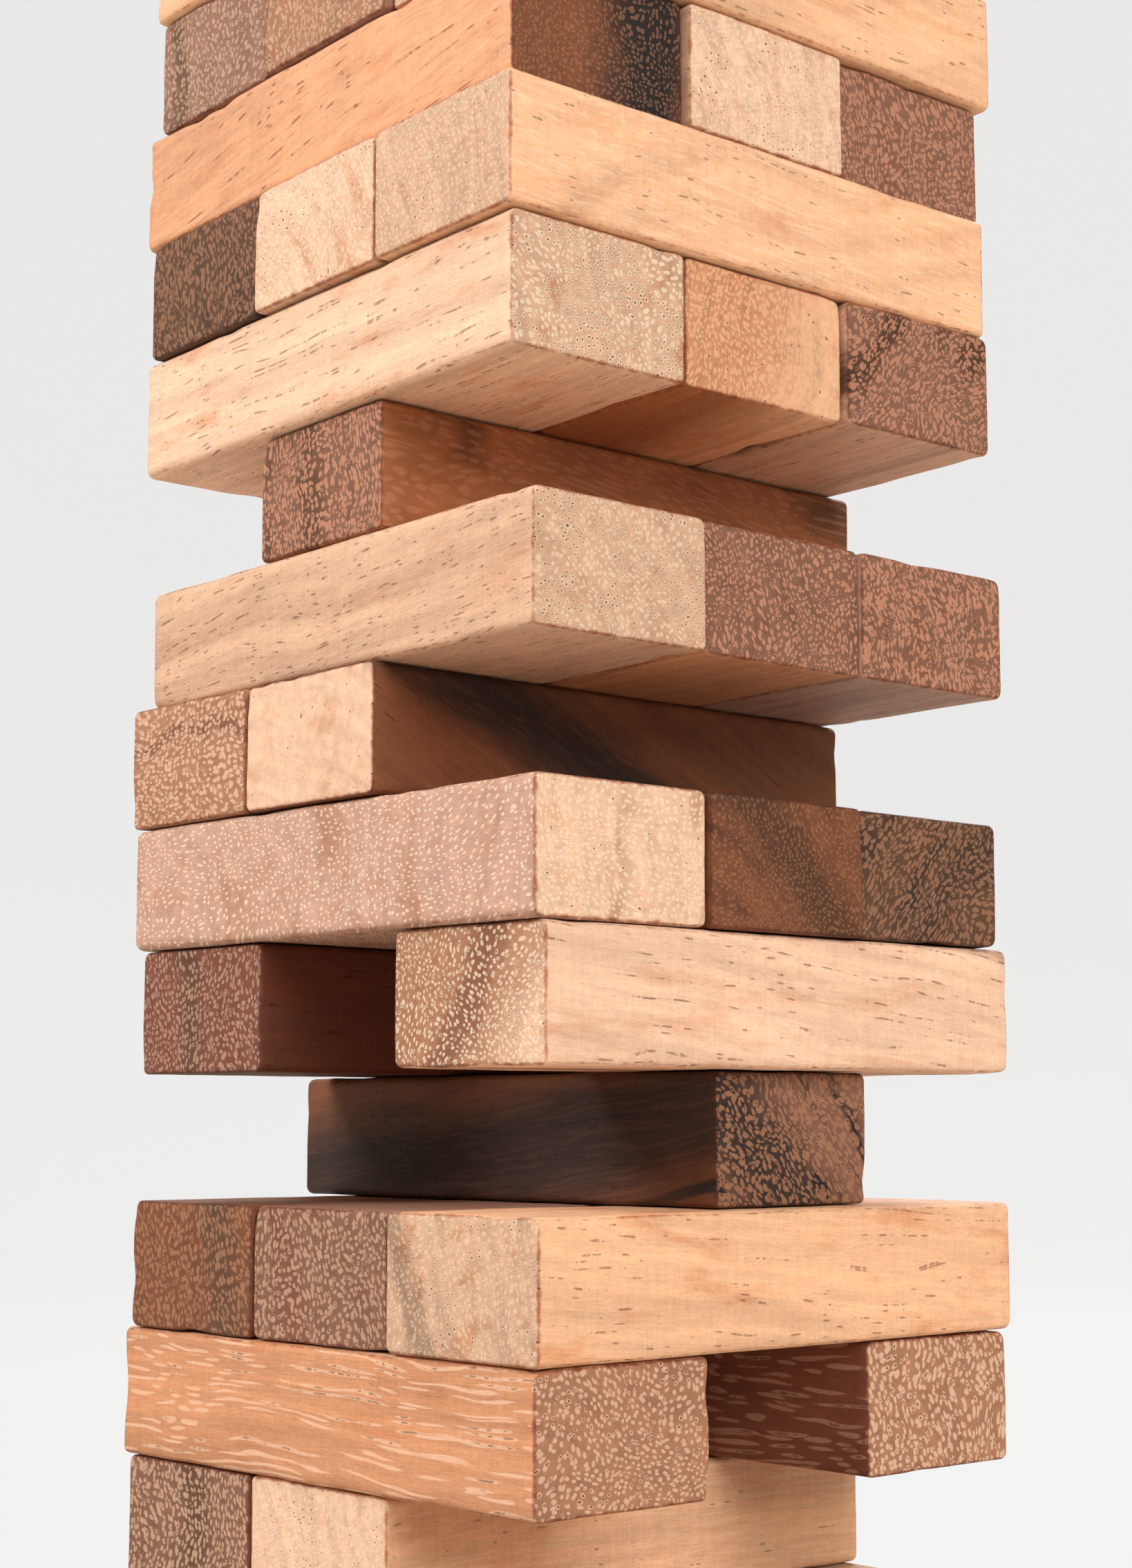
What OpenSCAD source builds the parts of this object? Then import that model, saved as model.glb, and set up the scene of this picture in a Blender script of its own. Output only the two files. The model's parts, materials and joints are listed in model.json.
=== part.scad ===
// Tumbling tower of 54 loose hardwood blocks, part-way through a game.
//
// Millimetres, +Z up, origin on the table under the middle of the tower.
// A level has three places side by side. Odd levels run along Y, with their places counted from
// left (-X) to right (+X). Even levels run along X, with their places counted from front (-Y) to
// back (+Y). Each block is loose: it slides lengthwise out of its place, either way.

/* [Blocks] */
// Length of a block
block_length = 75; // [60:1:90]
// Width of a block, a shade under a third of its length
block_width = 24.8; // [20:0.1:30]
// Height of a block as it lies
block_height = 15; // [12:0.1:18]
// Depth of the flat that breaks each sharp edge
edge_break = 0.5; // [0.2:0.1:1.5]

/* [Stack] */
// Gap between neighbours in a level
side_gap = 0.1; // [0.05:0.05:0.5]
// Gap between levels, which leaves every block free to slide
level_gap = 0.05; // [0.02:0.01:0.2]
// How far play has knocked the tower about: 0 is freshly stacked, 1 is part-way through a game
disorder = 1; // [0:0.1:1]
// How far the top of the tower leans towards the front
lean = 2; // [0:0.1:3]
// Turn of the tower in degrees: one way in its lower half and the other way in its upper half
winding = 1.5; // [0:0.1:3]
// How far a level strays from the line of the tower along X and along Y, at most
stray = 0.8; // [0:0.1:1.5]
// How far a level strays from the winding in degrees, at most
stray_turn = 0.5; // [0:0.1:1]
// How far a block of the top level sticks out, at most; lower blocks stick out less
slip = 0.8; // [0:0.1:2]
// How far the lone block of its level has been pushed to the left
lone_push_left = 3; // [0:0.5:6]
// How far the lone block of its level has been pushed to the back
lone_push_back = 3; // [0:0.5:6]

/* [Hidden] */
// Wood tones, from sapwood to the darkest heartwood
CREAM = [0.87, 0.76, 0.61];
HONEY = [0.82, 0.65, 0.45];
BLUSH = [0.78, 0.62, 0.50];
AMBER = [0.74, 0.48, 0.27];
MAUVE = [0.59, 0.43, 0.35];
RUSSET = [0.51, 0.29, 0.17];
UMBER = [0.34, 0.20, 0.12];
EBONY = [0.21, 0.12, 0.08];
// A place whose block has been taken
EMPTY = undef;

// The wood at each place, level by level from the table upwards
LEVELS = [
    [RUSSET, HONEY, AMBER],
    [BLUSH, UMBER, CREAM],
    [AMBER, MAUVE, HONEY],
    [CREAM, RUSSET, BLUSH],
    [RUSSET, AMBER, EMPTY],
    [AMBER, EMPTY, AMBER],
    [UMBER, MAUVE, HONEY],
    [EMPTY, UMBER, EMPTY],
    [RUSSET, EMPTY, CREAM],
    [MAUVE, RUSSET, EBONY],
    [BLUSH, RUSSET, EMPTY],
    [BLUSH, RUSSET, RUSSET],
    [EMPTY, RUSSET, EMPTY],
    [BLUSH, AMBER, UMBER],
    [UMBER, BLUSH, HONEY],
    [AMBER, BLUSH, RUSSET],
    [RUSSET, RUSSET, HONEY],
    [AMBER, CREAM, MAUVE],
    [HONEY, UMBER, AMBER],
    [RUSSET, CREAM, BLUSH],
    [AMBER, UMBER, EMPTY]
];
// The level whose only block has been pushed in
PUSHED_LEVEL = 8;

PLACES = 3;
MIDDLE_PLACE = 1;
PLACE_NAMES = [["left", "middle", "right"], ["front", "middle", "back"]];
place_pitch = block_width + side_gap;
level_pitch = block_height + level_gap;
quarter_turn = 90;

function is_even(level) = level % 2 == 0;
function steps_up(level) = level - 1;
function tone(level, place) = LEVELS[steps_up(level)][place];

// Steps of the golden angle give values from -1 to 1 that look random. Each kind of disorder takes
// steps of its own length. The bottom level is step 0, so it stays square on the origin.
golden_angle = 137.5;
full_turn = 360;
SIDEWAYS_STEP = 1;
ENDWAYS_STEP = 2;
TURN_STEP = 3;
function scatter(steps) = sin(steps * golden_angle);
function height_share(level) = steps_up(level) / (len(LEVELS) - 1);
function push(level) = level == PUSHED_LEVEL ? [-lone_push_left, lone_push_back] : [0, 0];
function shift(level) = disorder * (
    [0, -lean * height_share(level)]
    + stray * [scatter(SIDEWAYS_STEP * steps_up(level)), scatter(ENDWAYS_STEP * steps_up(level))]
    + push(level)
);
function turn(level) = disorder * (
    winding * sin(full_turn * height_share(level))
    + stray_turn * scatter(TURN_STEP * steps_up(level))
);
function stick_out(level, place) =
    disorder * slip * height_share(level) * scatter(PLACES * steps_up(level) + place - MIDDLE_PLACE);

function two_digits(number) = number < 10 ? str("0", number) : str(number);
function block_name(level, place) =
    str("level", two_digits(level), "_", PLACE_NAMES[is_even(level) ? 1 : 0][place]);

// Every block as [level, place], from the table upwards
BLOCKS = [
    for (level = [1 : len(LEVELS)])
        for (place = [0 : PLACES - 1])
            if (tone(level, place) != EMPTY) [level, place]
];

// A rectangle about the origin with its corners cut off at 45 degrees
module cut_rectangle(size) {
    outer = size / 2;
    inner = outer - [edge_break, edge_break];
    polygon([
        [inner.x, -outer.y], [outer.x, -inner.y],
        [outer.x, inner.y], [inner.x, outer.y],
        [-inner.x, outer.y], [-outer.x, inner.y],
        [-outer.x, -inner.y], [-inner.x, -outer.y]
    ]);
}

// One block about the origin, lying along Y, with its twelve edges broken
module plain_block() {
    intersection() {
        linear_extrude(block_height, center = true)
            cut_rectangle([block_width, block_length]);
        rotate([quarter_turn, 0, 0])
            linear_extrude(block_length, center = true)
                cut_rectangle([block_width, block_height]);
        rotate([quarter_turn, 0, quarter_turn])
            linear_extrude(block_width, center = true)
                cut_rectangle([block_length, block_height]);
    }
}

// The block at one place of a level
module tower_block(level, place) {
    across = (place - MIDDLE_PLACE) * place_pitch;
    height = steps_up(level) * level_pitch + block_height / 2;
    heading = turn(level) + (is_even(level) ? quarter_turn : 0);
    color(tone(level, place))
        translate([shift(level).x, shift(level).y, height])
            rotate(heading)
                translate([across, -stick_out(level, place), 0])
                    plain_block();
}

for (block = BLOCKS)
    tower_block(block[0], block[1]);
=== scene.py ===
"""Looks for a tumbling tower of loose hardwood blocks, part-way through a game.

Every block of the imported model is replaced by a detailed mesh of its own, which rides on that block's
body. One node group holds the wood, as a solid texture that runs through the block: vessels, the pale
tissue round them, rays, fibres, growth bands and heartwood veins. Each block feeds it its own numbers.
"""
import json
import math
import random

import bpy
import numpy as np
from mathutils import Euler, Matrix, Vector


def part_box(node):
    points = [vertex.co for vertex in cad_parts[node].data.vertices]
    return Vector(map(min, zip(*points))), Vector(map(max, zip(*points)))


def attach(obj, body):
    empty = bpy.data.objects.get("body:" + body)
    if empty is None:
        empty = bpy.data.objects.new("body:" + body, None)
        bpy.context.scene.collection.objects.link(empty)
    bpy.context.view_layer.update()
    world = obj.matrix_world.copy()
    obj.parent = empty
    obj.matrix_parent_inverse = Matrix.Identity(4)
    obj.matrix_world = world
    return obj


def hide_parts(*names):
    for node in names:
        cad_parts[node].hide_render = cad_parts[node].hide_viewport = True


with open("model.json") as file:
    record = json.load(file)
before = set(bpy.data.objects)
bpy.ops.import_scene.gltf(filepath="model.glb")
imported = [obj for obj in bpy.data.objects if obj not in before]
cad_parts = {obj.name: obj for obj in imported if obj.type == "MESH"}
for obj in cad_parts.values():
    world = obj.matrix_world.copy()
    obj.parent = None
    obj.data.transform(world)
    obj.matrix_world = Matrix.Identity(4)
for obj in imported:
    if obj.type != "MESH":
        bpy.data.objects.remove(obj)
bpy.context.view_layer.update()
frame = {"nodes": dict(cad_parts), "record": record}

MM = 0.001
MM_PER_METRE = 1000.0
SEED = 54


# ---------------------------------------------------------------------------------------------------
# Where the blocks lie, from the frame
# ---------------------------------------------------------------------------------------------------

# The way each block slides out. The root block has no joint, and lies along Y.
ROOT_BLOCK = "level01_middle"
joint_axes = {joint["child"]: Vector(joint["axis"]) for joint in frame["record"]["behaviour"]["joints"]}
joint_axes[ROOT_BLOCK] = Vector((0, -1, 0))
wood_slots = {row["node"]: row["material_slot"] for row in frame["record"]["subparts"]}


def box_size(node):
    """A node's extents along X, Y and Z."""
    low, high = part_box(node)
    return Vector(high) - Vector(low)


# The root block lies square to the axes, so its box gives the size of every block
BLOCK_SIZE = box_size(ROOT_BLOCK)
HALF = BLOCK_SIZE / 2


def block_place(node):
    """The matrix that puts a block, modelled about the origin along Y, where the CAD block lies."""
    low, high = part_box(node)
    centre = (Vector(low) + Vector(high)) / 2
    outwards = joint_axes[node]
    heading = math.atan2(outwards.x, -outwards.y)
    return Matrix.Translation(centre) @ Matrix.Rotation(heading, 4, "Z")


# ---------------------------------------------------------------------------------------------------
# The shape of a block
# ---------------------------------------------------------------------------------------------------

GRID_STEP = 1.1 * MM
ROUND_STEPS = 3
LONG_EDGE_RADIUS = 1.0 * MM      # the four edges along the grain are machined round
MIN_LONG_EDGE_RADIUS = 0.4 * MM
MAX_LONG_EDGE_RADIUS = 1.4 * MM
RADIUS_WANDER = 0.25 * MM        # how far that radius wanders along the block
RADIUS_WAVELENGTH = 14 * MM
END_EDGE_RADIUS = 0.45 * MM      # the edges of the two sawn ends are only sanded
WIDE_SINK = 0.03 * MM            # how far the faces are sunken, in wide and in narrow hollows
WIDE_SINK_LENGTH = 18 * MM
NARROW_SINK = 0.02 * MM
NARROW_SINK_LENGTH = 6 * MM
FACE_POWER = 12                  # high, so that a sink pushes only at the face a point lies on
DENTS = 9
DENT_AXES = (0, 1, 1, 1, 2)      # the edges that dents lie on: mostly the long ones
DENT_REACH = (0.8, 1.8)          # shortest and longest, in millimetres
DENT_DEPTH = (0.08, 0.28)        # shallowest and deepest, in millimetres
RIPPLE_WAVES = 7
RIPPLE_SPREAD = (0.6, 1.5)       # the waves of a ripple, as multiples of its frequency
TINY = 1e-9                      # keeps a division from being by zero


def grid_line(half, rim, rim_offsets):
    """Coordinates along one edge of a block: even steps on the flat, and the given steps in each rim."""
    flat = half - rim
    count = max(2, round(2 * flat / GRID_STEP))
    middle = np.linspace(-flat, flat, count + 1)
    return np.concatenate([-flat - rim_offsets[::-1], middle, flat + rim_offsets])


def surface_lattice(lines):
    """Vertices, as lattice indices, and quads of a closed box with those grid lines."""
    counts = [len(line) - 1 for line in lines]
    index, corners, quads = {}, [], []

    def vertex(key):
        if key not in index:
            index[key] = len(corners)
            corners.append(key)
        return index[key]

    for axis in range(3):
        u, v = (axis + 1) % 3, (axis + 2) % 3
        for side in (0, counts[axis]):
            for i in range(counts[u]):
                for j in range(counts[v]):
                    ring = []
                    for di, dj in ((0, 0), (1, 0), (1, 1), (0, 1)):
                        key = [0, 0, 0]
                        key[axis], key[u], key[v] = side, i + di, j + dj
                        ring.append(vertex(tuple(key)))
                    quads.append(ring if side else ring[::-1])
    return np.array(corners), quads


ROUND_SHARES = np.arange(1, ROUND_STEPS + 1) / ROUND_STEPS
LONG_EDGE_OFFSETS = MAX_LONG_EDGE_RADIUS * np.tan(ROUND_SHARES * math.pi / 4)
END_EDGE_OFFSETS = END_EDGE_RADIUS * ROUND_SHARES
LINES = [
    grid_line(HALF.x, MAX_LONG_EDGE_RADIUS, LONG_EDGE_OFFSETS),
    grid_line(HALF.y, END_EDGE_RADIUS, END_EDGE_OFFSETS),
    grid_line(HALF.z, MAX_LONG_EDGE_RADIUS, LONG_EDGE_OFFSETS),
]
LATTICE, QUADS = surface_lattice(LINES)
CUBE_POINTS = np.stack([LINES[axis][LATTICE[:, axis]] for axis in range(3)], axis=1)


def ripple(points, rng, wavelength):
    """A smooth random field of about -1 to 1 over the points: a sum of plane waves."""
    total = np.zeros(len(points))
    for _ in range(RIPPLE_WAVES):
        direction = np.array([rng.gauss(0, 1) for _ in range(3)])
        direction /= np.linalg.norm(direction)
        phase = rng.uniform(0, 2 * math.pi)
        frequency = 2 * math.pi / wavelength
        total += np.sin(points @ direction * frequency * rng.uniform(*RIPPLE_SPREAD) + phase)
    return total / math.sqrt(RIPPLE_WAVES * 2)


def rounded(points, rng):
    """Cube points drawn in to long edges of a wandering radius and to nearly sharp end edges."""
    half = np.array(HALF)
    radius = LONG_EDGE_RADIUS + RADIUS_WANDER * ripple(points, rng, RADIUS_WAVELENGTH)
    radius = np.clip(radius, MIN_LONG_EDGE_RADIUS, MAX_LONG_EDGE_RADIUS)[:, None]
    across = points[:, [0, 2]]
    core_half = half[[0, 2]] - radius
    core = np.clip(across, -core_half, core_half)
    away = across - core
    square_size = np.abs(away).max(axis=1, keepdims=True)
    round_size = np.maximum(np.linalg.norm(away, axis=1, keepdims=True), TINY)

    past = np.abs(points[:, 1]) - (half[1] - END_EDGE_RADIUS)
    angle = np.clip(past / END_EDGE_RADIUS, 0, 1) * math.pi / 2
    inset = END_EDGE_RADIUS * (1 - np.cos(angle))[:, None]
    length = np.where(past > 0, half[1] - END_EDGE_RADIUS * (1 - np.sin(angle)), np.abs(points[:, 1]))
    across = core + away * square_size / round_size * (radius - inset) / radius
    return np.stack([across[:, 0], np.sign(points[:, 1]) * length, across[:, 1]], axis=1)


def worn(points, rng):
    """Rounded points, slightly sunken in places, with a few dents along the edges."""
    half = np.array(HALF)
    inwards = -points / half
    inwards = np.sign(inwards) * np.abs(inwards) ** FACE_POWER
    sink = WIDE_SINK * (1 + ripple(points, rng, WIDE_SINK_LENGTH))
    sink += NARROW_SINK * (1 + ripple(points, rng, NARROW_SINK_LENGTH))
    moved = points + inwards * np.clip(sink, 0, None)[:, None]
    for _ in range(DENTS):
        spot = np.array([rng.choice((-1, 1)) * half[axis] for axis in range(3)])
        along = rng.choice(DENT_AXES)
        spot[along] *= rng.uniform(-1, 1)
        reach = rng.uniform(*DENT_REACH) * MM
        depth = rng.uniform(*DENT_DEPTH) * MM
        nearness = np.exp(-np.sum((points - spot) ** 2, axis=1) / (2 * reach ** 2))
        towards_middle = -spot / half
        towards_middle[along] = 0
        moved += nearness[:, None] * depth * towards_middle
    return moved


def block_mesh(name, rng):
    """The mesh of one block, with its own wear."""
    mesh = bpy.data.meshes.new(name)
    mesh.from_pydata(worn(rounded(CUBE_POINTS, rng), rng).tolist(), [], QUADS)
    mesh.polygons.foreach_set("use_smooth", [True] * len(mesh.polygons))
    mesh.update()
    return mesh


# ---------------------------------------------------------------------------------------------------
# Shader building blocks
# ---------------------------------------------------------------------------------------------------

def srgb(red, green, blue):
    """A colour given as 0 to 255 on screen, in the linear values that shaders use."""
    def linear(value):
        value /= 255
        return value / 12.92 if value <= 0.04045 else ((value + 0.055) / 1.055) ** 2.4
    return (linear(red), linear(green), linear(blue), 1.0)


class Graph:
    """Adds nodes to one node tree. Inputs are sockets, or plain values."""

    def __init__(self, tree):
        self.tree = tree

    def node(self, kind, inputs=None, **settings):
        made = self.tree.nodes.new("ShaderNode" + kind)
        for key, value in settings.items():
            setattr(made, key, value)
        for key, value in (inputs or {}).items():
            self.feed(made.inputs[key], value)
        return made

    def feed(self, socket, value):
        if isinstance(value, bpy.types.NodeSocket):
            self.tree.links.new(value, socket)
        elif value is not None:
            socket.default_value = value

    def math(self, operation, *values):
        made = self.node("Math", operation=operation)
        for socket, value in zip(made.inputs, values):
            self.feed(socket, value)
        return made.outputs[0]

    def total(self, values):
        """The sum of two or more values."""
        added = values[0]
        for value in values[1:]:
            added = self.math("ADD", added, value)
        return added

    def vector(self, operation, *values):
        made = self.node("VectorMath", operation=operation)
        for socket, value in zip(made.inputs, values):
            self.feed(socket, value)
        return made.outputs[0]

    def scale(self, vector, factor):
        made = self.node("VectorMath", operation="SCALE")
        self.feed(made.inputs[0], vector)
        self.feed(made.inputs["Scale"], factor)
        return made.outputs[0]

    def split(self, vector):
        return self.node("SeparateXYZ", {0: vector}).outputs

    def join(self, x, y, z):
        return self.node("CombineXYZ", {0: x, 1: y, 2: z}).outputs[0]

    def fade(self, value, start, end, low=0.0, high=1.0):
        """Low where value is start or before it, high at end or past it, and smooth between them."""
        made = self.node("MapRange", interpolation_type="SMOOTHSTEP")
        for socket, given in zip(made.inputs, (value, start, end, low, high)):
            self.feed(socket, given)
        return made.outputs[0]

    def noise(self, vector, detail=2.0, roughness=0.5):
        """Noise of about 0.25 to 0.75, with features about one unit across."""
        return self.node("TexNoise", {"Vector": vector, "Scale": 1.0, "Detail": detail,
                                      "Roughness": roughness}).outputs

    def mix(self, factor, first, second, blend="MIX"):
        made = self.node("Mix", data_type="RGBA", blend_type=blend)
        self.feed(made.inputs[0], factor)
        self.feed(made.inputs[6], first)
        self.feed(made.inputs[7], second)
        return made.outputs[2]


# ---------------------------------------------------------------------------------------------------
# The wood
# ---------------------------------------------------------------------------------------------------

# Inputs of the wood group: name and socket type. Lengths are in millimetres.
WOOD_INPUTS = [
    ("Grain", "Vector"),            # X out towards the bark, Y along the grain
    ("Block", "Vector"),            # position in the block
    ("Seed", "Float"),
    ("Side wood", "Color"),
    ("End wood", "Color"),
    ("Sapwood", "Color"),
    ("Dark", "Color"),              # veins and the dark band
    ("Halo", "Color"),              # pale tissue round the vessels, the same on ends and sides
    ("Sap edge", "Float"),          # depth past which the wood is sapwood
    ("Vein amount", "Float"),
    ("Band place", "Float"),        # depth of the middle of the dark band
    ("Band width", "Float"),
    ("Band amount", "Float"),
    ("End halo", "Float"),
    ("Side halo", "Float"),
    ("Wings", "Float"),             # how far halos stretch along the rings and run together
    ("Vessel pitch", "Float"),
    ("Open vessels", "Float"),      # share of the vessels that show as holes
    ("Smudges", "Float"),
]

# Noise layers: features to the millimetre along X, Y and Z, then detail, roughness and a shift. Layers
# with a shift of their own don't line up with each other.
LAYERS = {
    "fuzz": ((6.0, 4.0, 6.0), 3.0, 0.75, 0.0),
    "fibre": ((4.5, 0.12, 4.5), 3.0, 0.7, 0.0),
    "rays": ((0.3, 1.4, 7.0), 1.0, 0.5, 0.0),
    "mottle": ((0.9, 0.5, 0.9), 3.0, 0.6, 60.0),
    "streaks": ((0.8, 0.03, 0.8), 2.0, 0.5, 21.0),
    "smudge": ((0.25, 0.06, 0.25), 4.0, 0.6, 40.0),
    "vein patches": ((0.12, 0.03, 0.12), 1.0, 0.5, 0.0),
    "band edge": ((0.5, 0.08, 0.5), 3.0, 0.65, 9.0),
    "plugs": ((0.3, 0.6, 0.3), 3.0, 0.6, 3.0),
    "rub": ((0.8, 0.8, 0.8), 2.0, 0.5, 0.0),
}
SAW_MARKS = (0.12, 2.6, 0.12)    # features to the millimetre, along the block's own axes
LOG_NOISE = (3.0, 0.6)           # detail and roughness of the rings and the veins
SAW_NOISE = (2.0, 0.6)           # detail and roughness of the saw marks

# How strongly each layer darkens and lightens the wood
RING_SHADE = 0.6
STREAK_SHADE = 0.4
FIBRE_SHADE = 0.32
RAY_SHADE = 0.26
SAW_SHADE = 0.2
FUZZ_SHADE = 0.35
MOTTLE_SHADE = 0.25

# The relief of the surface, in millimetres
FIBRE_RELIEF = 0.10
RAY_RELIEF = 0.04
SAW_RELIEF = 0.03
SIDE_FUZZ_RELIEF = 0.06
END_FUZZ_RELIEF = 0.14
VESSEL_RELIEF = -0.06

# Where a block lies in the log. Bends are features to the millimetre, and a push in millimetres.
SEED_STEP = (17.3, 31.7, 11.1)
SLOW_BEND = ((0.07, 0.022, 0.07), 7.0)
QUICK_BEND = ((0.35, 0.10, 0.35), 1.3)
RING_CURVE = 0.010
END_NORMAL = (0.5, 0.9)          # how far a surface faces along the block, from where it is a side to an end

# Growth rings, veins and the dark band
RING_SEED_STEP = 13.7
RINGS_PER_MM = 0.6
VEINS_PER_MM = 0.22
RING_DRIFT = 0.03                # how quickly rings and veins change along themselves
VEIN_SLICE = 5.0                 # keeps the veins from lining up with the rings
VEIN_FADE = (0.5, 0.66)          # noise values between which a vein fades in
PATCH_FADE = (0.35, 0.55, 0.3, 1.0)
SAP_BLUR = 7.0                   # half the width over which sapwood fades in, in millimetres
BAND_RAGGED = 5.0                # how ragged the band's edge is, in millimetres
BAND_FADE = (1.1, 0.2)           # edge and full strength of the band, in half-widths
SMUDGE_FADE = (0.52, 0.68)
SMUDGE_TONE = (230, 190, 160)

# Vessels and the pale tissue round them. Vessel sizes are in millimetres.
VESSEL_SCATTER = 0.75            # 0 is a grid, and 1 is fully scattered
VESSEL_EDGE = (0.13, 0.07)       # from the rim of a hole to its full depth
VESSEL_RAGGED = 0.15
# Painted shade inside the open pores, together with some of the pores' own darker colour
VESSEL_SHADE_TONE = (120, 80, 60)
VESSEL_SHADE_AMOUNT = (0.6, 0.9)        # how strongly painted shade darkens a hole, on sides and on ends
PLUG_FADE = (0.48, 0.56, 0.1, 1.0)
HALO_REACH = 0.3                 # how far a halo reaches, as a share of the vessel pitch
HALO_CORE = 0.7                  # the share of that reach within which it is at full strength
SIDE_REACH = 0.8                 # how far it reaches on sides, as a share of that on ends
WING_REACH = 0.12                # how much further it reaches for each unit of wings
WING_SQUEEZE = 0.33              # how much wings stretch vessels and halos along the rings
WING_MERGE = 0.6                 # how unevenly wings move a halo's edge, in millimetres
SIDE_MERGE = 0.4                 # the share of that unevenness that sides have
MERGE_PER_MM = (1.9, 0.8, 0.05)  # along depth, along the rings and along the grain

# Edges burnished by handling, as distances from the edge in millimetres
BURNISH_EDGE = (0.5, 0.08)
BURNISH_RAGGED = 0.7
BURNISH_AMOUNT = 0.9
BURNISH_TONE = (180, 120, 90)

BASE_ROUGHNESS = 0.5
FUZZ_ROUGHNESS = 0.2
END_ROUGHNESS = 0.12
BURNISH_SMOOTHNESS = 0.12
SPECULAR = 0.35


class Wood(Graph):
    """Builds the solid wood texture that every block shares."""

    def __init__(self):
        super().__init__(bpy.data.node_groups.new("wood", "ShaderNodeTree"))
        interface = self.tree.interface
        for name, kind in WOOD_INPUTS:
            interface.new_socket(name, in_out="INPUT", socket_type="NodeSocket" + kind)
        self.given = self.tree.nodes.new("NodeGroupInput").outputs
        self.place()
        colour = self.tint_edges(self.vessels(self.fibres(self.ground())))
        outputs = {"Colour": colour, "Roughness": self.roughness(), "Height": self.height()}
        for name, socket in outputs.items():
            kind = "Color" if name == "Colour" else "Float"
            interface.new_socket(name, in_out="OUTPUT", socket_type="NodeSocket" + kind)
        result = self.tree.nodes.new("NodeGroupOutput")
        for name, socket in outputs.items():
            self.feed(result.inputs[name], socket)

    def stretched(self, scale, detail=1.0, roughness=0.5, shift=0.0):
        """Noise at the block's own place in it, with that many features to the millimetre on each axis."""
        where = self.vector("ADD", self.here, (shift, shift, shift)) if shift else self.here
        return self.noise(self.vector("MULTIPLY", where, scale), detail, roughness)

    def layer(self, name):
        """One of the noise layers."""
        return self.stretched(*LAYERS[name])["Fac"]

    def bend(self, scale, amount):
        """A smooth push across the grain, in millimetres."""
        push = self.vector("SUBTRACT", self.stretched(scale)["Color"], (0.5, 0.5, 0.5))
        return self.vector("MULTIPLY", push, (amount, 0.0, amount))

    def multiply(self, colour, factor):
        """A colour, made darker or lighter."""
        return self.vector("MULTIPLY", colour, self.join(factor, factor, factor))

    def centred(self, value, amount):
        """A noise value about zero, times amount."""
        return self.math("MULTIPLY", self.math("SUBTRACT", value, 0.5), amount)

    def by_endness(self, on_sides, on_ends):
        """A value that is one thing on the sides of the block and another on its ends."""
        return self.fade(self.endness, 0.0, 1.0, on_sides, on_ends)

    def place(self):
        """Where in the log each point lies. Slow waves bend the bands, and a wander moves each vessel."""
        offset = self.scale(SEED_STEP, self.given["Seed"])
        self.here = self.vector("ADD", self.given["Grain"], offset)
        bent = self.vector("ADD", self.given["Grain"], self.bend(*SLOW_BEND))
        self.wandering = self.vector("ADD", self.vector("ADD", bent, offset), self.bend(*QUICK_BEND))
        x, _, z = self.split(bent)
        curve = self.math("MULTIPLY", self.math("MULTIPLY", z, z), RING_CURVE)
        self.depth = self.math("ADD", x, curve)
        self.along_ring = z
        normal = self.node("TexCoord").outputs["Normal"]
        self.endness = self.fade(self.math("ABSOLUTE", self.split(normal)[1]), *END_NORMAL)
        self.fuzz = self.layer("fuzz")

    def ground(self):
        """Sapwood or heartwood, with growth bands, veins, one dark band and blotches."""
        given = self.given
        seeded = self.math("ADD", self.depth, self.math("MULTIPLY", given["Seed"], RING_SEED_STEP))
        sap = self.fade(self.math("SUBTRACT", self.depth, given["Sap edge"]), -SAP_BLUR, SAP_BLUR)
        heart = self.mix(self.endness, given["Side wood"], given["End wood"])
        colour = self.mix(sap, heart, given["Sapwood"])

        drift = self.math("MULTIPLY", self.along_ring, RING_DRIFT)
        where = self.join(self.math("MULTIPLY", seeded, VEINS_PER_MM), drift, VEIN_SLICE)
        veins = self.fade(self.noise(where, *LOG_NOISE)["Fac"], *VEIN_FADE)
        veins = self.math("MULTIPLY", veins, self.fade(self.layer("vein patches"), *PATCH_FADE))
        veins = self.math("MULTIPLY", veins, given["Vein amount"])

        off_band = self.math("ABSOLUTE", self.math("SUBTRACT", self.depth, given["Band place"]))
        off_band = self.math("ADD", off_band, self.centred(self.layer("band edge"), BAND_RAGGED))
        off_band = self.math("DIVIDE", off_band, given["Band width"])
        band = self.math("MULTIPLY", self.fade(off_band, *BAND_FADE), given["Band amount"])
        colour = self.mix(self.math("MAXIMUM", veins, band), colour, given["Dark"])

        where = self.join(self.math("MULTIPLY", seeded, RINGS_PER_MM), drift, 0.0)
        rings = self.noise(where, *LOG_NOISE)["Fac"]
        shade = self.total([self.centred(rings, RING_SHADE),
                            self.centred(self.layer("streaks"), STREAK_SHADE)])
        colour = self.multiply(colour, self.math("ADD", 1.0, shade))
        smudge = self.math("MULTIPLY", self.fade(self.layer("smudge"), *SMUDGE_FADE), given["Smudges"])
        return self.mix(smudge, colour, self.mix(1.0, colour, srgb(*SMUDGE_TONE), "MULTIPLY"))

    def fibres(self, colour):
        """Fibres, rays, and faint marks of the saw and the sanding belt across the block."""
        self.fibre = self.layer("fibre")
        self.rays = self.layer("rays")
        self.sawn = self.noise(self.vector("MULTIPLY", self.given["Block"], SAW_MARKS), *SAW_NOISE)["Fac"]
        texture = self.total([
            self.centred(self.fibre, FIBRE_SHADE), self.centred(self.rays, RAY_SHADE),
            self.centred(self.sawn, SAW_SHADE), self.centred(self.fuzz, FUZZ_SHADE),
            self.centred(self.layer("mottle"), MOTTLE_SHADE)])
        return self.multiply(colour, self.math("ADD", 1.0, texture))

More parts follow.
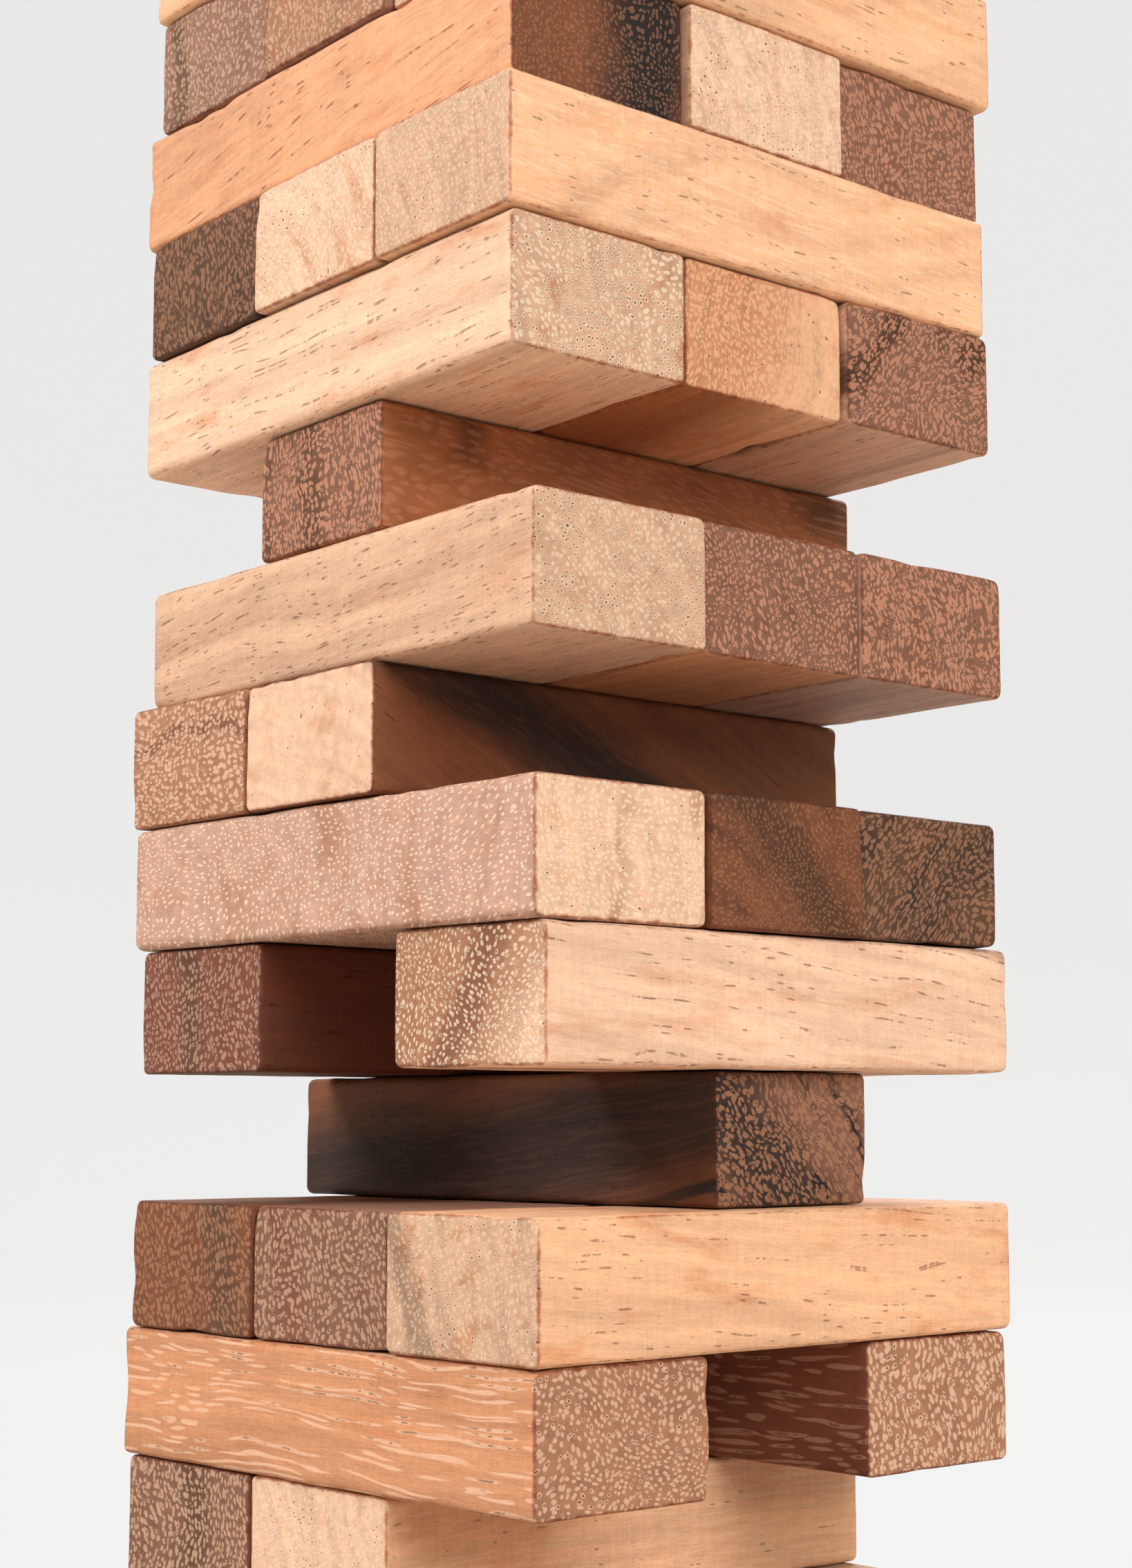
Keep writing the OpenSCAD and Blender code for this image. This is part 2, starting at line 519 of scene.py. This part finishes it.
    def vessels(self, colour):
        """Long tubes: dots on the ends of the block and dashes on its sides, in paler tissue. The open ones
        are darkened with painted shade, most on the ends.
        """
        given = self.given
        x, y, z = self.split(self.wandering)
        squeeze = self.math("SUBTRACT", 1.0, self.math("MULTIPLY", given["Wings"], WING_SQUEEZE))
        flat = self.scale(self.join(x, self.math("MULTIPLY", z, squeeze), 0.0),
                          self.math("DIVIDE", 1.0, given["Vessel pitch"]))
        cells = self.node("TexVoronoi", {"Vector": flat, "Scale": 1.0, "Randomness": VESSEL_SCATTER},
                          voronoi_dimensions="2D").outputs
        distance = self.math("MULTIPLY", cells["Distance"], given["Vessel pitch"])
        distance = self.math("ADD", distance, self.centred(self.fuzz, VESSEL_RAGGED))
        chance = self.split(cells["Color"])[0]
        is_open = self.math("LESS_THAN", chance, given["Open vessels"])
        plugs = self.fade(self.layer("plugs"), *PLUG_FADE)
        self.vessel = self.math("MULTIPLY", self.fade(distance, *VESSEL_EDGE), is_open)
        self.vessel = self.math("MULTIPLY", self.vessel, plugs)

        depth_rate, ring_rate, grain_rate = MERGE_PER_MM
        merge = self.noise(self.join(self.math("MULTIPLY", x, depth_rate),
                                     self.math("MULTIPLY", z, ring_rate),
                                     self.math("MULTIPLY", y, grain_rate)))["Fac"]
        merge = self.math("MULTIPLY", self.centred(merge, WING_MERGE), given["Wings"])
        merge = self.math("MULTIPLY", merge, self.by_endness(SIDE_MERGE, 1.0))
        reach = self.math("ADD", HALO_REACH, self.math("MULTIPLY", given["Wings"], WING_REACH))
        reach = self.math("MULTIPLY", reach, given["Vessel pitch"])
        reach = self.math("MULTIPLY", reach, self.by_endness(SIDE_REACH, 1.0))
        halo = self.fade(self.math("SUBTRACT", distance, merge), reach,
                         self.math("MULTIPLY", reach, HALO_CORE))
        amount = self.by_endness(given["Side halo"], given["End halo"])
        colour = self.mix(self.math("MULTIPLY", halo, amount), colour, given["Halo"])
        # Open pores are darkened: painted shade inside the holes, partly their own darker colour
        shaded_hole = self.mix(1.0, colour, srgb(*VESSEL_SHADE_TONE), "MULTIPLY")
        hole_shade = self.by_endness(*VESSEL_SHADE_AMOUNT)
        return self.mix(self.math("MULTIPLY", self.vessel, hole_shade), colour, shaded_hole)

    def tint_edges(self, colour):
        """Edges are burnished darker and redder by handling."""
        gap = self.vector("SUBTRACT", tuple(HALF / MM), self.vector("ABSOLUTE", self.given["Block"]))
        gap_x, gap_y, gap_z = self.split(gap)
        low, high = self.math("MINIMUM", gap_x, gap_y), self.math("MAXIMUM", gap_x, gap_y)
        to_edge = self.math("MAXIMUM", low, self.math("MINIMUM", high, gap_z))
        ragged = self.centred(self.layer("rub"), BURNISH_RAGGED)
        self.burnish = self.fade(self.math("SUBTRACT", to_edge, ragged), *BURNISH_EDGE)
        burnished = self.mix(1.0, colour, srgb(*BURNISH_TONE), "MULTIPLY")
        return self.mix(self.math("MULTIPLY", self.burnish, BURNISH_AMOUNT), colour, burnished)

    def roughness(self):
        """Sawn ends are rougher than sides, and burnished edges are smoother."""
        rough = self.math("ADD", BASE_ROUGHNESS, self.math("MULTIPLY", self.fuzz, FUZZ_ROUGHNESS))
        rough = self.math("ADD", rough, self.math("MULTIPLY", self.endness, END_ROUGHNESS))
        return self.math("SUBTRACT", rough, self.math("MULTIPLY", self.burnish, BURNISH_SMOOTHNESS))

    def height(self):
        """The relief in millimetres."""
        return self.total([
            self.centred(self.fibre, FIBRE_RELIEF), self.centred(self.rays, RAY_RELIEF),
            self.centred(self.sawn, SAW_RELIEF),
            self.math("MULTIPLY", self.centred(self.fuzz, 1.0),
                      self.by_endness(SIDE_FUZZ_RELIEF, END_FUZZ_RELIEF)),
            self.math("MULTIPLY", self.vessel, VESSEL_RELIEF)])


WOOD = Wood().tree

# The colours of the woods, 0 to 255 on screen
TONES = {
    "pearl": (240, 220, 190),
    "ivory": (230, 200, 170),
    "shell": (230, 190, 160),
    "honey": (230, 180, 140),
    "amber": (220, 160, 120),
    "apricot": (200, 140, 100),
    "sand": (210, 170, 140),
    "blush": (190, 150, 130),
    "copper": (160, 100, 60),
    "tan": (170, 120, 90),
    "mauve": (150, 110, 90),
    "cocoa": (130, 90, 70),
    "clay": (200, 140, 110),
    "brick": (120, 70, 50),
    "russet": (120, 70, 40),
    "chestnut": (100, 50, 30),
    "umber": (90, 60, 40),
    "ebony": (70, 40, 20),
    "coal": (30, 20, 20),
}

# How a block looks unless its own row says otherwise. Lengths are in millimetres and angles in degrees.
# "ring" is the direction from the heart of the log towards the bark, seen on the near end: 0 is to the
# right and 90 is up. "band" is the dark band's place, width and amount.
DEFAULT_LOOK = {
    "side": "sand", "end": "tan", "sap": None, "sap_edge": 99.0, "dark": "umber", "halo": "ivory",
    "veins": 0.2, "band": (0.0, 2.0, 0.0), "end_halo": 0.4, "side_halo": 0.05, "wings": 0.3,
    "pitch": 0.7, "open": 0.4, "smudges": 0.3, "tilt": (3.0, 3.0), "ring": 20.0,
}

LOOKS = {
    "level05_left": {"side": "russet", "end": "cocoa", "band": (3, 4, 0.8), "ring": 0, "wings": 0.9,
                     "halo": "sand", "end_halo": 0.7},
    "level05_middle": {"side": "honey", "end": "shell", "halo": "pearl", "side_halo": 0.2, "wings": 0.2},
    "level06_front": {"side": "apricot", "end": "tan", "side_halo": 0.6, "end_halo": 0.7,
                      "tilt": (8, 8), "ring": 70, "halo": "shell", "wings": 0.5},
    "level06_back": {"side": "brick", "end": "tan", "end_halo": 0.8, "side_halo": 0.3, "wings": 0.9,
                     "halo": "shell"},
    "level07_left": {"side": "russet", "end": "russet", "band": (8, 5, 0.9), "ring": 15, "wings": 0.9,
                     "halo": "tan", "end_halo": 0.7},
    "level07_middle": {"side": "mauve", "end": "cocoa", "band": (-4, 3, 0.7), "wings": 0.8,
                       "dark": "brick", "halo": "sand", "end_halo": 0.6},
    "level07_right": {"side": "honey", "end": "sand", "pitch": 0.8, "open": 0.8, "ring": 200, "wings": 0.2,
                      "band": (11, 3, 0.5), "smudges": 0.6, "halo": "pearl"},
    "level08_middle": {"side": "russet", "end": "cocoa", "band": (-8, 9, 0.9), "ring": 50,
                       "dark": "coal", "veins": 1.5, "halo": "tan", "end_halo": 0.7, "pitch": 0.6,
                       "wings": 1.2, "tilt": (10, 4)},
    "level09_left": {"side": "chestnut", "side_halo": 0, "end": "brick", "band": (0, 3, 0.8),
                     "ring": 10, "wings": 0.6, "halo": "blush", "end_halo": 0.7},
    "level09_right": {"side": "shell", "end": "tan", "end_halo": 0.7, "side_halo": 0, "open": 0.5,
                      "band": (4, 3, 0.7), "ring": -30, "dark": "brick", "sap": "shell", "sap_edge": 11,
                      "smudges": 0.4, "halo": "pearl"},
    "level10_front": {"side": "blush", "end": "shell", "side_halo": 0.6, "end_halo": 0.7,
                      "halo": "pearl", "tilt": (10, 40), "wings": 0.1, "dark": "tan", "veins": 0.7,
                      "open": 0.1, "ring": 0},
    "level10_middle": {"side": "russet", "end": "russet", "veins": 0.9, "band": (2, 5, 0.8), "ring": 50,
                       "dark": "ebony", "halo": "tan", "pitch": 0.6},
    "level10_back": {"side": "umber", "end": "umber", "veins": 0.8, "dark": "coal",
                     "band": (-3, 4, 0.5), "ring": 140, "halo": "tan", "end_halo": 0.6, "pitch": 0.6,
                     "wings": 1.2},
    "level11_left": {"side": "tan", "end": "tan", "wings": 0.9, "end_halo": 0.7, "dark": "brick",
                     "band": (4, 1, 0.7), "ring": 90, "halo": "shell"},
    "level11_middle": {"side": "russet", "end": "shell", "veins": 0, "dark": "coal", "smudges": 0.4,
                       "band": (0, 6, 0.9), "end_halo": 0, "side_halo": 0.1, "halo": "copper",
                       "open": 0.1, "ring": 80, "tilt": (35, 10)},
    "level12_front": {"side": "sand", "end": "sand", "tilt": (14, 10), "open": 1.0, "dark": "brick",
                      "ring": 45, "end_halo": 0.6, "halo": "pearl"},
    "level12_middle": {"side": "apricot", "end": "cocoa", "end_halo": 0.8, "wings": 0.6, "halo": "clay",
                       "veins": 0.4, "pitch": 0.6},
    "level12_back": {"side": "blush", "end": "cocoa", "wings": 1.2, "veins": 0.6, "dark": "russet",
                     "end_halo": 0.8, "halo": "clay", "pitch": 0.55},
    "level13_middle": {"side": "copper", "end": "cocoa", "wings": 1.0, "end_halo": 0.8,
                       "side_halo": 0.3, "halo": "clay", "dark": "ebony", "band": (4, 3, 0.6),
                       "ring": 0, "open": 0.1, "veins": 0.8, "pitch": 0.6, "tilt": (5, 8)},
    "level14_front": {"side": "shell", "end": "sand", "open": 1.0, "wings": 0.4, "smudges": 0.6,
                      "end_halo": 0.8, "halo": "pearl"},
    "level14_middle": {"side": "copper", "end": "apricot", "wings": 0.9, "open": 0.1, "sap": "honey",
                       "sap_edge": 6, "ring": -10, "end_halo": 0.7, "halo": "honey", "pitch": 0.6},
    "level14_back": {"side": "sand", "end": "cocoa", "band": (-4, 3, 0.9), "ring": -40, "dark": "ebony",
                     "veins": 0.9, "wings": 1.2, "end_halo": 0.7, "halo": "clay", "pitch": 0.55},
    "level15_left": {"side": "umber", "end": "umber", "wings": 1.2, "end_halo": 0.6, "halo": "tan",
                     "pitch": 0.6, "veins": 0.6, "dark": "coal"},
    "level15_middle": {"side": "sand", "end": "shell", "wings": 0.6, "halo": "pearl", "dark": "apricot",
                       "veins": 0.7, "ring": 50, "end_halo": 0.5},
    "level15_right": {"side": "honey", "end": "sand", "side_halo": 0.25, "wings": 0.2, "open": 0.3,
                      "halo": "pearl", "tilt": (5, 6)},
    "level16_front": {"side": "amber", "end": "russet", "band": (10, 9, 1.0), "ring": 0, "dark": "coal",
                      "wings": 0.4, "halo": "tan", "pitch": 0.6, "side_halo": 0.2, "tilt": (8, 4)},
    "level16_middle": {"side": "sand", "end": "shell", "end_halo": 0.5, "halo": "pearl"},
    "level16_back": {"side": "tan", "end": "cocoa", "wings": 1.0, "veins": 0.4, "dark": "russet",
                     "end_halo": 0.7, "halo": "clay", "pitch": 0.6},
    "level17_left": {"side": "mauve", "end": "mauve", "band": (-6, 2, 0.7), "ring": 0, "wings": 0.6},
    "level17_middle": {"side": "mauve", "end": "tan", "wings": 0.8},
    "level17_right": {"side": "honey", "end": "sand", "halo": "pearl"},
    "level18_front": {"side": "honey", "end": "tan"},
}


def look_of(node):
    """A block's numbers. A block without a row borrows that of another block of the same wood."""
    rng = random.Random(f"{SEED} {node}")
    own = LOOKS.get(node)
    if own is None:
        alike = [name for name in sorted(LOOKS) if wood_slots[name] == wood_slots[node]]
        own = dict(LOOKS[rng.choice(alike or sorted(LOOKS))])
        own["ring"] = rng.uniform(-180, 180)
    look = {**DEFAULT_LOOK, **own}
    look["seed"] = rng.uniform(1, 90)
    return look


def tone(name):
    """A named tone, as shaders use it."""
    return srgb(*TONES[name])


def wood_values(look):
    """A look as inputs of the wood group."""
    place, width, amount = look["band"]
    return {
        "Seed": look["seed"],
        "Side wood": tone(look["side"]),
        "End wood": tone(look["end"]),
        "Sapwood": tone(look["sap"] or look["side"]),
        "Dark": tone(look["dark"]),
        "Halo": tone(look["halo"]),
        "Sap edge": look["sap_edge"],
        "Vein amount": look["veins"],
        "Band place": place,
        "Band width": width,
        "Band amount": amount,
        "End halo": look["end_halo"],
        "Side halo": look["side_halo"],
        "Wings": look["wings"],
        "Vessel pitch": look["pitch"],
        "Open vessels": look["open"],
        "Smudges": look["smudges"],
    }


def wood_material(node):
    """The material of one block."""
    look = look_of(node)
    material = bpy.data.materials.new(node + "_wood")
    material.use_nodes = True
    tree = material.node_tree
    tree.nodes.clear()
    g = Graph(tree)
    place = g.node("TexCoord").outputs["Object"]
    in_block = g.node("Mapping", {"Vector": place, "Scale": (MM_PER_METRE,) * 3}).outputs[0]
    tilt_x, tilt_z = look["tilt"]
    turn = Euler((math.radians(tilt_x), math.radians(look["ring"]), math.radians(tilt_z)))
    grain = g.node("Mapping", {"Vector": in_block, "Rotation": turn}).outputs[0]
    wood = g.node("Group", node_tree=WOOD)
    for key, value in {"Grain": grain, "Block": in_block, **wood_values(look)}.items():
        g.feed(wood.inputs[key], value)
    bump = g.node("Bump", {"Height": wood.outputs["Height"], "Strength": 1.0, "Distance": MM})
    shader = g.node("BsdfPrincipled", {
        "Base Color": wood.outputs["Colour"], "Roughness": wood.outputs["Roughness"],
        "Normal": bump.outputs[0], "Specular IOR Level": SPECULAR})
    output = g.node("OutputMaterial")
    tree.links.new(shader.outputs[0], output.inputs["Surface"])
    return material


def make_block(node):
    """Build the piece that stands for one CAD block, and let it ride on that block's body."""
    rng = random.Random(f"{SEED} shape {node}")
    piece = bpy.data.objects.new(node + "_wood", block_mesh(node + "_wood", rng))
    bpy.context.scene.collection.objects.link(piece)
    piece.matrix_world = block_place(node)
    piece.data.materials.append(wood_material(node))
    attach(piece, node)
    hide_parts(node)


for block in sorted(frame["nodes"]):
    make_block(block)


# ---------------------------------------------------------------------------------------------------
# Studio
# ---------------------------------------------------------------------------------------------------

PAPER_TONE = (190, 180, 170)     # in the light it throws on the object
PAPER_SEEN_TONE = (90, 90, 90)   # as the camera sees it, where the glow is added
GLOW_TONE = (240, 240, 240)
GLOW_STRENGTH = 0.85
FLOOR_RADIUS = 1.6
INNER_RADII = (0.6, 1.2)
SWEEP = 0.6                      # radius of the curve that takes the floor up into the wall
SWEEP_STEPS = 10
WALL_HEIGHT = 2.6
FLOOR_TURNS = 96


def paper_material():
    """Pale paper that throws less light back on the object than the camera sees of it."""
    material = bpy.data.materials.new("studio_paper")
    material.use_nodes = True
    tree = material.node_tree
    tree.nodes.clear()
    g = Graph(tree)
    seen = g.node("LightPath").outputs["Is Camera Ray"]
    colour = g.mix(seen, srgb(*PAPER_TONE), srgb(*PAPER_SEEN_TONE))
    paper = g.node("BsdfDiffuse", {"Color": colour})
    glow = g.node("Emission", {"Color": srgb(*GLOW_TONE),
                               "Strength": g.math("MULTIPLY", seen, GLOW_STRENGTH)})
    both = g.node("AddShader")
    tree.links.new(paper.outputs[0], both.inputs[0])
    tree.links.new(glow.outputs[0], both.inputs[1])
    output = g.node("OutputMaterial")
    tree.links.new(both.outputs[0], output.inputs["Surface"])
    return material


def floor_profile():
    """Radius and height of each ring of the floor and its wall, from the inside out."""
    profile = [(radius, 0.0) for radius in (*INNER_RADII, FLOOR_RADIUS)]
    for step in range(1, SWEEP_STEPS + 1):
        angle = math.pi / 2 * step / SWEEP_STEPS
        profile.append((FLOOR_RADIUS + SWEEP * math.sin(angle), SWEEP * (1 - math.cos(angle))))
    return profile + [(FLOOR_RADIUS + SWEEP, WALL_HEIGHT)]


def make_floor():
    """A pale floor that sweeps up into a round wall, so that no horizon shows from any side."""
    profile = floor_profile()
    points, faces = [], []
    for radius, height in profile:
        for turn in range(FLOOR_TURNS):
            angle = 2 * math.pi * turn / FLOOR_TURNS
            points.append((radius * math.cos(angle), radius * math.sin(angle), height))
    centre = len(points)
    points.append((0, 0, 0))
    for turn in range(FLOOR_TURNS):
        following = (turn + 1) % FLOOR_TURNS
        faces.append((centre, turn, following))
        for ring in range(len(profile) - 1):
            inner = ring * FLOOR_TURNS
            outer = inner + FLOOR_TURNS
            faces.append((inner + turn, outer + turn, outer + following, inner + following))
    mesh = bpy.data.meshes.new("studio_floor")
    mesh.from_pydata(points, [], faces)
    mesh.polygons.foreach_set("use_smooth", [True] * len(faces))
    floor = bpy.data.objects.new("studio_floor", mesh)
    floor.data.materials.append(paper_material())
    bpy.context.scene.collection.objects.link(floor)


# Name, place and width in metres, and power in watts
LIGHTS = [
    ("key", (-0.35, -1.25, 1.0), 0.8, 21),
    ("fill", (1.35, -0.25, 0.8), 1.0, 19),
    ("back", (-0.7, 1.2, 1.3), 1.2, 22),
]
LIGHT_TARGET = (0, 0, 0.16)      # the middle of the tower
WORLD_STRENGTH = 0.65


def area_light(name, place, size, power):
    """A round soft light, out of the camera's sight, that faces the middle of the tower."""
    data = bpy.data.lights.new(name, "AREA")
    data.shape = "DISK"
    data.size = size
    data.energy = power
    light = bpy.data.objects.new(name, data)
    light.location = place
    light.rotation_euler = (Vector(LIGHT_TARGET) - Vector(place)).to_track_quat("-Z", "Y").to_euler()
    light.visible_camera = False
    bpy.context.scene.collection.objects.link(light)


def make_studio():
    """The floor, the lights and an even white world."""
    make_floor()
    for light in LIGHTS:
        area_light(*light)
    world = bpy.data.worlds.new("studio")
    world.use_nodes = True
    background = world.node_tree.nodes["Background"]
    background.inputs["Color"].default_value = (1, 1, 1, 1)
    background.inputs["Strength"].default_value = WORLD_STRENGTH
    bpy.context.scene.world = world
    bpy.context.scene.view_settings.view_transform = "Standard"


# The camera stands low and close, and looks slightly up at the corner of the tower
CAMERA_PLACE = Vector((0.235, -0.205, 0.115))
CAMERA_AZIMUTH = math.radians(49)
CAMERA_TILT = math.radians(7.5)
LENS = 58.5                      # millimetres, as the sensor is
SENSOR_WIDTH = 36
CLIP_START = 0.01


def make_camera():
    """The camera, at the angle the tower is meant to be seen from."""
    data = bpy.data.cameras.new("camera")
    data.lens = LENS
    data.sensor_width = SENSOR_WIDTH
    camera = bpy.data.objects.new("camera", data)
    camera.location = CAMERA_PLACE
    camera.rotation_euler = (math.pi / 2 + CAMERA_TILT, 0, CAMERA_AZIMUTH)
    data.clip_start = CLIP_START
    bpy.context.scene.collection.objects.link(camera)
    bpy.context.scene.camera = camera


make_studio()
make_camera()
